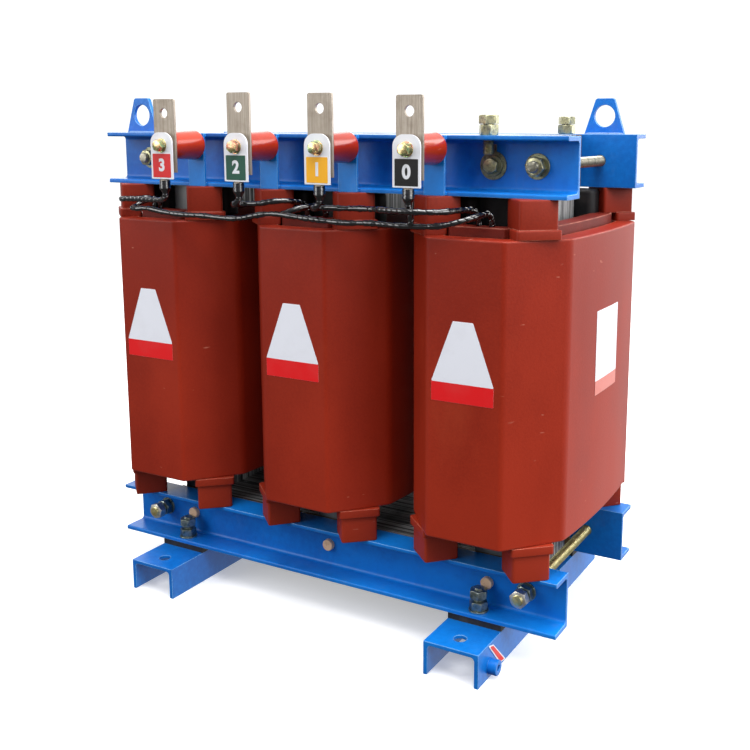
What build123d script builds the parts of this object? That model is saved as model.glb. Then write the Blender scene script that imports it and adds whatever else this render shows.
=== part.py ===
from build123d import *
from math import atan2, cos, degrees, pi, radians, tan
import os

# Three-phase cast-resin dry-type transformer on two base channels, in millimetres.
# X runs along the three coils, the low-voltage terminals face -Y, and Z is up from the floor.
# Everything is drawn about the middle of the core, and save() moves it into the common frame.

# Overall layout
phase_pitch = 349.0          # from one coil to the next
clamp_length = 1004.0        # all four core clamps
core_gap = 310.0             # clear distance between front and back clamp webs
base_span = 796.0            # over the outer edges of the base channels

# Base channels, web up
base_width = 107.0
base_height = 63.0
base_length = 604.0
base_web = 7.0
base_leg = 8.0
base_root = 7.0              # radius inside the corners
base_toe = 3.0
base_hole = 24.0
base_hole_inset = 38.0       # fixing holes from the ends of the channel
base_bolt_line = 35.0        # from a clamp's heel to its base bolts
pad_thickness = 13.0         # insulating pads under the lower clamps
pad_setback = 3.0            # the pads stop short of the flange tip

# Core clamps, hot-rolled channels with their flanges pointing away from the core
clamp_height = 102.0
clamp_flange = 56.0
clamp_web = 6.0
clamp_flange_plate = 8.0
clamp_root = 7.0
clamp_toe = 3.0

# Core, stacked in three packets a side
limb_width = 100.0
packet_trims = (0.0, 8.0, 18.0)       # each packet's edges stand in by this much
packet_steps = (50.0, 28.0, 0.0)      # and it stops this far short of the full stack
yoke_height = 100.0
yoke_board = 5.0             # insulating board between yoke and clamp web
board_margin = 10.0

# High-voltage coils, eight-sided in plan with bowed long sides
coil_front = 143.0           # width of the flat front
coil_depth = 541.0
coil_width = 299.0           # where the chamfers meet the sides
coil_chamfer_end = 350.0     # between the ends of the chamfers, along Y
coil_bow = 8.5               # the sides stand out this much more at mid length
coil_height = 527.0
coil_gap = 65.0              # between the coils and the clamps, above and below
coil_wall = 36.0
coil_edge = 12.0             # upright edges beside the flat front
coil_shoulder = 26.0         # upright edges beside the bowed sides
inner_edge = 2.0             # the same edges inside the windings
coil_rim = 2.5               # rounding round the rim

# Low-voltage coils inside them
duct = 8.0                   # air duct between the windings
lv_wall = 36.0
lv_rise = 16.0               # stands out of the high-voltage coil, above and below

# Resin blocks between coils and clamps, four above and four below each coil
block_width = 68.0
block_depth = 64.0
block_angle = 42.0
block_lip = 5.0              # the foot on the winding is this much wider all round
seat_clear = 1.0

# Lifting lugs
lug_x = 428.0
lug_base = 81.0
lug_top = 37.0
lug_height = 69.0
lug_plate = 8.0
lug_hole = 42.0
lug_hole_rise = 35.0
lug_corner = 6.0

# Low-voltage terminals
terminal_pitch = 175.0
terminal_rise = 80.0         # bushing axis above the underside of the upper clamps
strip_width = 40.0           # upright strips that carry the bushings
strip_plate = 5.0
bushing_length = 80.0
bushing_base = 58.0          # diameters
bushing_nose = 50.0
base_round = 9.0
nose_round = 4.0
insert_depth = 26.0
bar_width = 50.0
bar_plate = 5.0
bar_tops = (85.0, 95.0, 92.0, 87.0)   # above the bushing axis, from the left
bar_tail = 50.0
bar_corner = 4.0
bar_hole = 18.0
bar_hole_drop = 26.0         # below the top of the bar
tongue_width = 34.0          # cable lugs between bar and tag
tongue_plate = 7.0
tongue_top = 17.0
tongue_corner = 12.0
barrel_diameter = 17.0
barrel_length = 17.0
barrel_gap = 1.0             # between tag and barrel
tag_width = 52.0
tag_plate = 3.0
tag_top = 24.0
tag_tail = 62.0
tag_round = 20.0

# Fasteners: thread, across flats, nut height, washer diameter
m16 = (16.0, 24.0, 10.0, 30.0)
m18 = (18.0, 28.0, 12.0, 36.0)
m20 = (20.0, 30.0, 16.0, 37.0)
washer_plate = 3.0
hole_clear = 2.0             # on the diameter
tight_clear = 0.4
upper_rod_x = 430.0
upper_rod_washer = 44.0
lower_rod_x = 426.0
rod_end = 8.0                # thread past the nut
nut_gap = 6.0                # thread between two nuts
stud_rod = 16.0
stud_head = 23.0
stud_proud = 9.0
stud_round = 2.0
press_line = 28.0            # from a clamp's heel to its pressing bolt
press_rise = 15.0            # thread showing under the head
press_head = 12.0
press_stub = 8.0
base_head = 13.0
earth_disc = 49.0
earth_strap = 11.0
earth_plate = 2.5
boss_diameter = 28.0
boss_length = 17.0
boss_inset = 48.0            # from the end of the base channel
boss_rise = 21.0
boss_round = 2.0

# Low-voltage leads, stiff conductors wrapped in tape
lead_diameter = 12.0
touch = 0.3

# Heights and depths that follow from the sizes above
base_x = (base_span - base_width) / 2
base_hole_y = base_length / 2 - base_hole_inset
lower_z = base_height + pad_thickness
lower_top = lower_z + clamp_height
upper_z = lower_top + coil_height + 2 * coil_gap
upper_top = upper_z + clamp_height
lower_mid = lower_z + clamp_height / 2
upper_mid = upper_z + clamp_height / 2
coil_z = lower_top + coil_gap
coil_top = coil_z + coil_height
heel_y = core_gap / 2
web_y = heel_y + clamp_web
tip_y = heel_y + clamp_flange
base_bolt_y = heel_y + base_bolt_line
press_y = heel_y + press_line
lug_y = heel_y + clamp_flange / 2
axis_z = upper_z + terminal_rise
strip_y = tip_y + strip_plate
bar_y = strip_y + bushing_length
tongue_y = bar_y + bar_plate
tag_y = tongue_y + tongue_plate
cap_y = tag_y + tag_plate
front_y = cap_y + washer_plate + m16[2]
frame_y = (front_y - base_length / 2) / 2
barrel_y = tongue_y + tongue_plate / 2
barrel_top = axis_z - tag_tail - barrel_gap
terminal_xs = [terminal_pitch * (i - 1.5) for i in range(4)]
phases = {"left": -phase_pitch, "middle": 0.0, "right": phase_pitch}

os.makedirs("parts", exist_ok=True)


def save(piece, name):
    """Move a piece into the frame, whose origin is on the floor under the middle of the whole box."""
    placed = piece.part.moved(Location((0, frame_y, 0)))
    placed.label = name
    export_step(placed, f"parts/{name}.step")


def channel_section(plane, height, flange, web, flange_plate, root, toe):
    """Hot-rolled channel: its heel on the plane's origin, its flanges along the plane's x."""
    with BuildSketch(plane) as section:
        with BuildLine():
            Polyline((0, -height / 2), (flange, -height / 2), (flange, -height / 2 + flange_plate),
                     (web, -height / 2 + flange_plate), (web, height / 2 - flange_plate),
                     (flange, height / 2 - flange_plate), (flange, height / 2), (0, height / 2),
                     close=True)
        make_face()
        fillet(section.vertices().group_by(Axis.X)[1], root)
        fillet(section.vertices().group_by(Axis.X)[-1].sort_by(Axis.Y)[1:3], toe)
    return section.sketch


def hexagon_on(plane, spots, across, height):
    """Hexagon nuts or bolt heads standing on a plane, for the builder that is open."""
    with BuildSketch(plane) as section:
        with Locations(*spots):
            RegularPolygon(across / 2, 6, major_radius=False)
    extrude(section.sketch, amount=height)


def disc_on(plane, spots, diameter, height):
    """Round discs or rods standing on a plane, for the builder that is open."""
    with BuildSketch(plane) as section:
        with Locations(*spots):
            Circle(diameter / 2)
    extrude(section.sketch, amount=height)


def bore(plane, spots, diameter, depth):
    """Round holes from a plane inwards, for the builder that is open."""
    with BuildSketch(plane) as section:
        with Locations(*spots):
            Circle(diameter / 2)
    extrude(section.sketch, amount=-depth, mode=Mode.SUBTRACT)


def facing(side, y):
    """Upright plane that looks away from the core at a distance y; its y direction is up."""
    return Plane(origin=(0, side * y, 0), x_dir=(-side, 0, 0), z_dir=(0, side, 0))


# Base channels
rod_hole = m20[0] + hole_clear
for name, x in (("base_channel_left", -base_x), ("base_channel_right", base_x)):
    start = Plane(origin=(x, -base_length / 2, base_height), x_dir=(0, 0, -1), z_dir=(0, 1, 0))
    base_section = channel_section(start, base_width, base_height, base_web, base_leg, base_root, base_toe)
    with BuildPart() as channel:
        extrude(base_section, amount=base_length)
        top = Plane.XY.offset(base_height)
        bore(top, [(x, side * base_hole_y) for side in (-1, 1)], base_hole, base_web)
        bore(top, [(x, side * base_bolt_y) for side in (-1, 1)], rod_hole, base_web)
    save(channel, name)

# Insulating pads between base channels and lower clamps
with BuildPart() as pads:
    with BuildSketch(Plane.XY.offset(base_height)):
        with GridLocations(2 * base_x, 2 * heel_y + clamp_flange - pad_setback, 2, 2):
            Rectangle(base_width, clamp_flange - pad_setback)
        with GridLocations(2 * base_x, 2 * base_bolt_y, 2, 2):
            Circle(rod_hole / 2, mode=Mode.SUBTRACT)
    extrude(amount=pad_thickness)
save(pads, "base_pads")

# Core clamps
for level, bottom in (("lower", lower_z), ("upper", upper_z)):
    for end, side in (("front", -1), ("back", 1)):
        start = Plane(origin=(-clamp_length / 2, side * heel_y, bottom + clamp_height / 2),
                      x_dir=(0, side, 0), z_dir=(1, 0, 0))
        clamp_section = channel_section(start, clamp_height, clamp_flange, clamp_web,
                                        clamp_flange_plate, clamp_root, clamp_toe)
        outer = facing(side, web_y)
        with BuildPart() as clamp:
            extrude(clamp_section, amount=clamp_length)
            if level == "lower":
                bore(outer, [(x, lower_mid) for x in (-lower_rod_x, lower_rod_x)], rod_hole, clamp_web)
                bore(outer, [(x, lower_mid) for x in phases.values()], stud_rod + hole_clear, clamp_web)
                bore(Plane.XY.offset(bottom + clamp_flange_plate),
                     [(x, side * base_bolt_y) for x in (-base_x, base_x)], rod_hole, clamp_flange_plate)
            else:
                bore(outer, [(x, upper_mid) for x in (-upper_rod_x, upper_rod_x)], rod_hole, clamp_web)
                bore(Plane.XY.offset(upper_top), [(phase_pitch, side * press_y)],
                     rod_hole, clamp_flange_plate)
            if level == "upper" and side < 0:
                bore(outer, [(phase_pitch, upper_mid)], m18[0] + hole_clear, clamp_web)
        save(clamp, f"{level}_clamp_{end}")

# Lifting lugs, one at each end, on opposite clamps
for name, side in (("lifting_lug_front_left", -1), ("lifting_lug_back_right", 1)):
    with BuildPart() as lug:
        with BuildSketch(facing(side, lug_y - lug_plate / 2)) as outline:
            with Locations((-lug_x, upper_top)):
                Trapezoid(lug_base, lug_height, degrees(atan2(2 * lug_height, lug_base - lug_top)),
                          align=(Align.CENTER, Align.MIN))
            fillet(outline.vertices().group_by(Axis.Y)[-1], lug_corner)
            with Locations((-lug_x, upper_top + lug_hole_rise)):
                Circle(lug_hole / 2, mode=Mode.SUBTRACT)
        extrude(amount=lug_plate)
    save(lug, name)

# Core limbs and yokes in stepped packets
packets = [(limb_width / 2 - trim, heel_y - yoke_board - step)
           for trim, step in zip(packet_trims, packet_steps)]
limb_foot = lower_mid + yoke_height / 2
limb_head = upper_mid - yoke_height / 2
for name, x in phases.items():
    with BuildPart() as limb:
        with BuildSketch(Plane.XY.offset(limb_foot)):
            with Locations((x, 0)):
                for half, depth in packets:
                    Rectangle(2 * half, 2 * depth)
        extrude(amount=limb_head - limb_foot)
    save(limb, f"core_limb_{name}")

for name, z in (("core_yoke_bottom", lower_mid), ("core_yoke_top", upper_mid)):
    with BuildPart() as yoke:
        with BuildSketch(Plane.XY.offset(z - yoke_height / 2)):
            for half, depth in packets:
                Rectangle(2 * (phase_pitch + half), 2 * depth)
        extrude(amount=yoke_height)
        if z == lower_mid:
            bore(facing(1, heel_y), [(x, z) for x in phases.values()], stud_rod + hole_clear, core_gap)
    save(yoke, name)

# Insulating boards between the yokes and the clamp webs
board_length = 2 * (phase_pitch + packets[-1][0] + board_margin)
with BuildPart() as boards:
    for side in (-1, 1):
        with BuildSketch(facing(side, heel_y - yoke_board)):
            with Locations((0, lower_mid), (0, upper_mid)):
                Rectangle(board_length, yoke_height)
            with Locations(*[(x, lower_mid) for x in phases.values()]):
                Circle((stud_rod + hole_clear) / 2, mode=Mode.SUBTRACT)
        extrude(amount=yoke_board)
save(boards, "yoke_boards")

# Coils in plan
half_front = coil_front / 2
half_width = coil_width / 2
half_depth = coil_depth / 2
half_run = coil_chamfer_end / 2
with BuildSketch() as coil_plan:
    with BuildLine():
        Line((-half_front, -half_depth), (half_front, -half_depth))
        Line((half_front, -half_depth), (half_width, -half_run))
        ThreePointArc((half_width, -half_run), (half_width + coil_bow, 0), (half_width, half_run))
        Line((half_width, half_run), (half_front, half_depth))
        Line((half_front, half_depth), (-half_front, half_depth))
        Line((-half_front, half_depth), (-half_width, half_run))
        ThreePointArc((-half_width, half_run), (-half_width - coil_bow, 0), (-half_width, -half_run))
        Line((-half_width, -half_run), (-half_front, -half_depth))
    make_face()


def plan_inside(inset):
    """The coil's plan moved inwards, with its upright edges rounded."""
    with BuildSketch() as outline:
        if inset:
            offset(coil_plan.sketch, amount=-inset, kind=Kind.INTERSECTION)
        else:
            add(coil_plan.sketch)
        rows = outline.vertices().group_by(Axis.Y)
        fillet(rows[1] + rows[2], max(coil_shoulder - inset, inner_edge))
        rows = outline.vertices().group_by(Axis.Y)
        fillet(rows[0] + rows[-1], max(coil_edge - inset, inner_edge))
    return outline.sketch


lv_inset = coil_wall + duct
for name, x in phases.items():
    with BuildPart() as high:
        with BuildSketch(Plane((x, 0, coil_z))):
            add(plan_inside(0))
            add(plan_inside(coil_wall), mode=Mode.SUBTRACT)
        extrude(amount=coil_height)
        for end in (0, -1):
            fillet(high.faces().sort_by(Axis.Z)[end].outer_wire().edges(), coil_rim)
    save(high, f"hv_coil_{name}")
    with BuildPart() as low:
        with BuildSketch(Plane((x, 0, coil_z - lv_rise))):
            add(plan_inside(lv_inset))
            add(plan_inside(lv_inset + lv_wall), mode=Mode.SUBTRACT)
        extrude(amount=coil_height + 2 * lv_rise)
    save(low, f"lv_coil_{name}")

# Resin blocks: a foot on the high-voltage coil and a body that reaches over the low-voltage one
skew = atan2(half_depth - half_run, half_width - half_front) - radians(block_angle)
foot_depth = (lv_inset - seat_clear) / cos(skew) - (block_width / 2 + block_lip) * tan(skew)
body_height = coil_gap - lv_rise
middle_x = (half_front + half_width) / 2
middle_y = (half_depth + half_run) / 2
for level, way, coil_end in (("top", 1, coil_top), ("bottom", -1, coil_z)):
    for name, x in phases.items():
        with BuildPart() as blocks:
            for sx, sy in ((-1, -1), (1, -1), (-1, 1), (1, 1)):
                turn = -sx * block_angle if sy > 0 else 180 + sx * block_angle
                spot = Location((x + sx * middle_x, sy * middle_y, 0), (0, 0, turn))
                with BuildSketch(Plane.XY.offset(coil_end)):
                    with Locations(spot * Location((0, block_lip, 0))):
                        Rectangle(block_width + 2 * block_lip, block_lip + foot_depth,
                                  align=(Align.CENTER, Align.MAX))
                extrude(amount=way * lv_rise)
                with BuildSketch(Plane.XY.offset(coil_end + way * lv_rise)):
                    with Locations(spot):
                        Rectangle(block_width, block_depth, align=(Align.CENTER, Align.MAX))
                extrude(amount=way * body_height)
        save(blocks, f"{level}_blocks_{name}")

# Strips on the front upper clamp that carry the bushings
with BuildPart() as strips:
    with BuildSketch(facing(-1, tip_y)):
        with Locations(*[(x, upper_mid) for x in terminal_xs]):
            Rectangle(strip_width, clamp_height)
    extrude(amount=strip_plate)
save(strips, "bushing_strips")

# Resin bushings, tapering to a nose with an insert for the terminal bolt
bolt_hole = m16[0] + tight_clear
for number, x in enumerate(terminal_xs, start=1):
    with BuildPart() as bushing:
        with BuildSketch(facing(-1, strip_y)):
            with Locations((x, axis_z)):
                Circle(bushing_base / 2)
        with BuildSketch(facing(-1, bar_y)):
            with Locations((x, axis_z)):
                Circle(bushing_nose / 2)
        loft()
        fillet(bushing.edges().filter_by(GeomType.CIRCLE).sort_by(Axis.Y)[-1], base_round)
        fillet(bushing.edges().filter_by(GeomType.CIRCLE).sort_by(Axis.Y)[0], nose_round)
        bore(facing(-1, bar_y), [(x, axis_z)], bolt_hole, insert_depth)
    save(bushing, f"bushing_{number}")

# Terminal bars
for number, (x, top) in enumerate(zip(terminal_xs, bar_tops), start=1):
    with BuildPart() as bar:
        with BuildSketch(facing(-1, bar_y)) as outline:
            with Locations((x, axis_z + top)):
                Rectangle(bar_width, top + bar_tail, align=(Align.CENTER, Align.MAX))
            fillet(outline.vertices().group_by(Axis.Y)[-1], bar_corner)
            with Locations((x, axis_z + top - bar_hole_drop)):
                Circle(bar_hole / 2, mode=Mode.SUBTRACT)
            with Locations((x, axis_z)):
                Circle(bolt_hole / 2, mode=Mode.SUBTRACT)
        extrude(amount=bar_plate)
    save(bar, f"terminal_bar_{number}")

# Cable lugs between the bars and the tags
with BuildPart() as cable_lugs:
    for x in terminal_xs:
        with BuildSketch(facing(-1, tongue_y)) as outline:
            with Locations((x, axis_z + tongue_top)):
                Rectangle(tongue_width, tongue_top + tag_tail - barrel_gap, align=(Align.CENTER, Align.MAX))
            fillet(outline.vertices(), tongue_corner)
            with Locations((x, barrel_top)):
                Rectangle(barrel_diameter, tongue_width, align=(Align.CENTER, Align.MIN))
            with Locations((x, axis_z)):
                Circle(bolt_hole / 2, mode=Mode.SUBTRACT)
        extrude(amount=tongue_plate)
    disc_on(Plane.XY.offset(barrel_top), [(x, -barrel_y) for x in terminal_xs],
            barrel_diameter, -barrel_length)
save(cable_lugs, "cable_lugs")

# Tags in front of the cable lugs
with BuildPart() as tags:
    with BuildSketch(facing(-1, tag_y)) as outline:
        with Locations(*[(x, axis_z + tag_top) for x in terminal_xs]):
            Rectangle(tag_width, tag_top + tag_tail, align=(Align.CENTER, Align.MAX))
        fillet(outline.vertices().group_by(Axis.Y)[-1], tag_round)
        with Locations(*[(x, axis_z) for x in terminal_xs]):
            Circle(bolt_hole / 2, mode=Mode.SUBTRACT)
    extrude(amount=tag_plate)
save(tags, "terminal_tags")

# Terminal bolts
with BuildPart() as terminal_bolts:
    spots = [(x, axis_z) for x in terminal_xs]
    disc_on(facing(-1, cap_y), spots, m16[3], washer_plate)
    hexagon_on(facing(-1, cap_y + washer_plate), spots, m16[1], m16[2])
    disc_on(facing(-1, cap_y), spots, m16[0], bar_y - insert_depth - cap_y)
save(terminal_bolts, "terminal_bolts")

# Tie rods between the upper clamps
with BuildPart() as upper_rods:
    spots = [(x, upper_mid) for x in (-upper_rod_x, upper_rod_x)]
    upper_rod_tip = web_y + washer_plate + m20[2] + rod_end
    disc_on(facing(1, -upper_rod_tip), spots, m20[0], 2 * upper_rod_tip)
    for side in (-1, 1):
        disc_on(facing(side, web_y), spots, upper_rod_washer, washer_plate)
        hexagon_on(facing(side, web_y + washer_plate), spots, m20[1], m20[2])
save(upper_rods, "upper_tie_rods")

# Tie rods between the lower clamps, with lock nuts
with BuildPart() as lower_rods:
    spots = [(x, lower_mid) for x in (-lower_rod_x, lower_rod_x)]
    lock_y = web_y + washer_plate + m20[2] + nut_gap
    lower_rod_tip = lock_y + m20[2] + rod_end / 2
    disc_on(facing(1, -lower_rod_tip), spots, m20[0], 2 * lower_rod_tip)
    for side in (-1, 1):
        disc_on(facing(side, web_y), spots, m20[3], washer_plate)
        hexagon_on(facing(side, web_y + washer_plate), spots, m20[1], m20[2])
        hexagon_on(facing(side, lock_y), spots, m20[1], m20[2])
save(lower_rods, "lower_tie_rods")

# Insulated studs through the bottom yoke
with BuildPart() as studs:
    spots = [(x, lower_mid) for x in phases.values()]
    disc_on(facing(1, -web_y), spots, stud_rod, 2 * web_y)
    for side in (-1, 1):
        disc_on(facing(side, web_y), spots, stud_head, stud_proud)
    rims = studs.edges().filter_by(GeomType.CIRCLE).group_by(Axis.Y)
    fillet(rims[0] + rims[-1], stud_round)
save(studs, "core_studs")

# Bolts that hold the clamps to the base channels
with BuildPart() as base_bolts:
    spots = [(x, y) for x in (-base_x, base_x) for y in (-base_bolt_y, base_bolt_y)]
    washer_z = lower_z + clamp_flange_plate
    second_z = washer_z + washer_plate + m20[2] + nut_gap
    head_z = base_height - base_web - base_head
    disc_on(Plane.XY.offset(head_z), spots, m20[0], second_z + m20[2] + rod_end / 2 - head_z)
    disc_on(Plane.XY.offset(washer_z), spots, m20[3], washer_plate)
    hexagon_on(Plane.XY.offset(washer_z + washer_plate), spots, m20[1], m20[2])
    hexagon_on(Plane.XY.offset(second_z), spots, m20[1], m20[2])
    hexagon_on(Plane.XY.offset(head_z), spots, m20[1], base_head)
save(base_bolts, "base_bolts")

# Bolts that stand on the upper clamps over the right-hand coil
with BuildPart() as pressing_bolts:
    spots = [(phase_pitch, y) for y in (-press_y, press_y)]
    under_z = upper_top - clamp_flange_plate
    disc_on(Plane.XY.offset(upper_top + press_rise), spots, m20[0],
            under_z - m20[2] - press_stub - upper_top - press_rise)
    hexagon_on(Plane.XY.offset(upper_top + press_rise), spots, m20[1], press_head)
    hexagon_on(Plane.XY.offset(under_z), spots, m20[1], -m20[2])
save(pressing_bolts, "pressing_bolts")

# Earthing disc and strap on the front upper clamp, with its bolt
with BuildPart() as earth_lug:
    with BuildSketch(facing(-1, web_y)):
        with Locations((phase_pitch, upper_mid)):
            Circle(earth_disc / 2)
            Rectangle(earth_strap, clamp_height / 2 - clamp_flange_plate - clamp_root,
                      align=(Align.CENTER, Align.MIN))
            Circle((m18[0] + hole_clear) / 2, mode=Mode.SUBTRACT)
    extrude(amount=earth_plate)
save(earth_lug, "earth_lug")

with BuildPart() as earth_bolt:
    spots = [(phase_pitch, upper_mid)]
    disc_on(facing(-1, web_y + earth_plate), spots, m18[0], -(earth_plate + clamp_web))
    disc_on(facing(-1, web_y + earth_plate), spots, m18[3], washer_plate)
    hexagon_on(facing(-1, web_y + earth_plate + washer_plate), spots, m18[1], m18[2])
save(earth_bolt, "earth_bolt")

# Earthing boss on the right-hand base channel
with BuildPart() as earth_boss:
    outer = Plane(origin=(base_x + base_width / 2, boss_inset - base_length / 2, boss_rise),
                  x_dir=(0, 1, 0), z_dir=(1, 0, 0))
    disc_on(outer, [(0, 0)], boss_diameter, boss_length)
    fillet(earth_boss.edges().group_by(Axis.X)[-1], boss_round)
save(earth_boss, "earth_boss")


def conductor(points):
    """A round conductor on straight runs joined by the largest arcs that fit them.

    Its points' heights count from the underside of the upper clamps.
    """
    points = [Vector(x, y, upper_z + z) for x, y, z in points]
    radii = []
    for before, here, after in zip(points, points[1:], points[2:]):
        run_in = here - before
        run_out = after - here
        half_turn = radians(run_in.get_angle(run_out)) / 2
        radii.append(0.45 * min(run_in.length, run_out.length) / tan(half_turn))
    with BuildLine() as route:
        FilletPolyline(*points, radius=radii)
    path = route.wire()
    with BuildSketch(Plane(origin=path @ 0, z_dir=path % 0)) as section:
        Circle(lead_diameter / 2)
    wire = sweep(section.sketch, path=path, mode=Mode.PRIVATE)
    share = wire.volume / (pi * lead_diameter ** 2 / 4 * path.length)
    print("radii", [round(r) for r in radii], "volume share", round(share, 4))
    return wire


# Leads from the cable lugs to the low-voltage coils, behind the front blocks
lv_face = lv_rise + touch - coil_gap
lead_z = barrel_top - barrel_length - touch - upper_z
first, second, third, fourth = [(x, -barrel_y, lead_z) for x in terminal_xs]
lead_1 = [first, (terminal_xs[0], -barrel_y, -12), (-269, -301, -20), (-290, -293, -24),
          (-340, -283, -24), (-388, -275, -26), (-409, -272, -27), (-418, -263, -27.5),
          (-418, -251, -28), (-409, -240, -28), (-397, -227, -27), (-387, -215, -26),
          (-383, -207, -34), (-383, -207, lv_face)]
lead_2 = [second, (terminal_xs[1], -barrel_y, -11), (-94, -303, -20), (-105, -299, -24),
          (-111, -290, -25), (-111, -279, -25), (-103, -271, -25), (-89, -270, -24.5),
          (-66, -273, -23), (-52, -274, -20), (-29, -268, -17), (-14, -255, -17), (-8, -237, -20),
          (-7, -217, -25), (-6, -207, -34), (-6, -207, lv_face)]
lead_3 = [third, (terminal_xs[2], -barrel_y, -11), (81, -303, -20), (70, -299, -24),
          (64, -290, -25), (64, -279, -25), (72, -271, -25), (86, -270, -24.5), (112, -274, -24),
          (150, -282, -22), (190, -293, -21), (226, -308, -20), (262, -317, -20), (292, -309, -20.5),
          (312, -293, -21), (327, -274, -20), (337, -253, -19), (342, -232, -20),
          (344, -217, -25), (344, -207, -34), (344, -207, lv_face)]
for name, points in (("lead_1", lead_1), ("lead_2", lead_2), ("lead_3", lead_3)):
    with BuildPart() as wire:
        add(conductor(points))
    save(wire, name)

# The neutral link joins the three coils to the fourth lug
link = [(-368, -207, lv_face), (-368, -207, -34), (-370, -217, -26), (-376, -233, -29),
        (-384, -248, -36), (-387, -262, -42), (-380, -273, -44), (-366, -278, -44.5),
        (-334, -281, -41), (-290, -284, -47), (-240, -286, -50), (-190, -285, -49),
        (-141, -285, -52), (-100, -286, -51), (-62, -284, -42), (-24, -282, -38), (28, -285, -43),
        (83, -287, -46), (130, -287, -48), (175, -286, -45), (222, -288, -47), (268, -287, -47),
        (308, -284, -45), (333, -276, -39), (351, -261, -33), (361, -245, -29), (366, -231, -27),
        (367, -217, -26), (368, -207, -34), (368, -207, lv_face)]
drop = [fourth, (terminal_xs[3], -barrel_y, -11.5), (261, -295, -26), (258, -288, -47)]
strand = [(-12, -282.7, -39), (8, -276, -32), (22, -262, -27), (31, -245, -25), (34, -229, -24.5),
          (34, -217, -26), (34, -207, -34), (34, -207, lv_face)]
with BuildPart() as neutral_link:
    for points in (link, drop, strand):
        add(conductor(points))
save(neutral_link, "neutral_link")
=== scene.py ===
import bmesh
import bpy
import math
import numpy as np
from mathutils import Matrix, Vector


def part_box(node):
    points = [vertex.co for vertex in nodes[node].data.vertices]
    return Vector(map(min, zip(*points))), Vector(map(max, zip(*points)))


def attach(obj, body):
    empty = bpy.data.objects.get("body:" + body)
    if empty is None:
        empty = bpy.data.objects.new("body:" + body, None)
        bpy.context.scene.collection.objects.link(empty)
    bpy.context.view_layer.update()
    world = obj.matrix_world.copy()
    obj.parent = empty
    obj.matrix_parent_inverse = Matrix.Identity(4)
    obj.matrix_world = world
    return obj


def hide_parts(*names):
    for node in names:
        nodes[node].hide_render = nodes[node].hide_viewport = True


# Dressing for the dry-type transformer: camera, light, finishes and the detail that sits on the CAD parts.
# Places are in metres in the CAD frame, and coreY is the middle of the core along Y.

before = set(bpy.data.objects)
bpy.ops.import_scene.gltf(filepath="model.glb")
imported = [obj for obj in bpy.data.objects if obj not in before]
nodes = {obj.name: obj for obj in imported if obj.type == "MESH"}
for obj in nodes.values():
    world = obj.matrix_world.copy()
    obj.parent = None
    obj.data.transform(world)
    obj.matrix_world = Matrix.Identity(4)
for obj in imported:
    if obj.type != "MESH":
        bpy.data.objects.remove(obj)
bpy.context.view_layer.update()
scene = bpy.context.scene


def boxOf(node):  # lowest and highest corner of a CAD part
    low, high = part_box(node)
    return np.array(low), np.array(high)


def middleOf(node):
    low, high = boxOf(node)
    return (low + high) / 2


coreY = float(middleOf("hv_coil_middle")[1])


# Camera

view = {"place": (1.0697, -1.7155, 0.9537), "turn": (80.07, -0.15, 28.64), "lens": 47.97,
        "shift": (-0.0665, -0.1)}

cameraData = bpy.data.cameras.new("camera")
cameraData.lens = view["lens"]
cameraData.sensor_width = 36.0
cameraData.shift_x, cameraData.shift_y = view["shift"]
cameraData.clip_start, cameraData.clip_end = 0.05, 100.0
camera = bpy.data.objects.new("camera", cameraData)
camera.location = view["place"]
camera.rotation_euler = [math.radians(a) for a in view["turn"]]
scene.collection.objects.link(camera)
scene.camera = camera
print("camera is set")


# Shader graphs

def tint(red, green, blue):  # a colour as a screen shows it, 0 to 255, turned linear
    c = np.array([red, green, blue]) / 255
    linear = np.where(c > 0.04045, ((c + 0.055) / 1.055) ** 2.4, c / 12.92)
    return (*linear.tolist(), 1.0)


class Socket:  # one output of a node, which takes part in sums and products as a number does
    def __init__(self, graph, end):
        self.graph = graph
        self.end = end

    def __add__(self, other):
        return self.graph.maths("ADD", self, other)

    def __radd__(self, other):
        return self.graph.maths("ADD", other, self)

    def __sub__(self, other):
        return self.graph.maths("SUBTRACT", self, other)

    def __rsub__(self, other):
        return self.graph.maths("SUBTRACT", other, self)

    def __mul__(self, other):
        return self.graph.maths("MULTIPLY", self, other)

    def __rmul__(self, other):
        return self.graph.maths("MULTIPLY", other, self)


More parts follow.
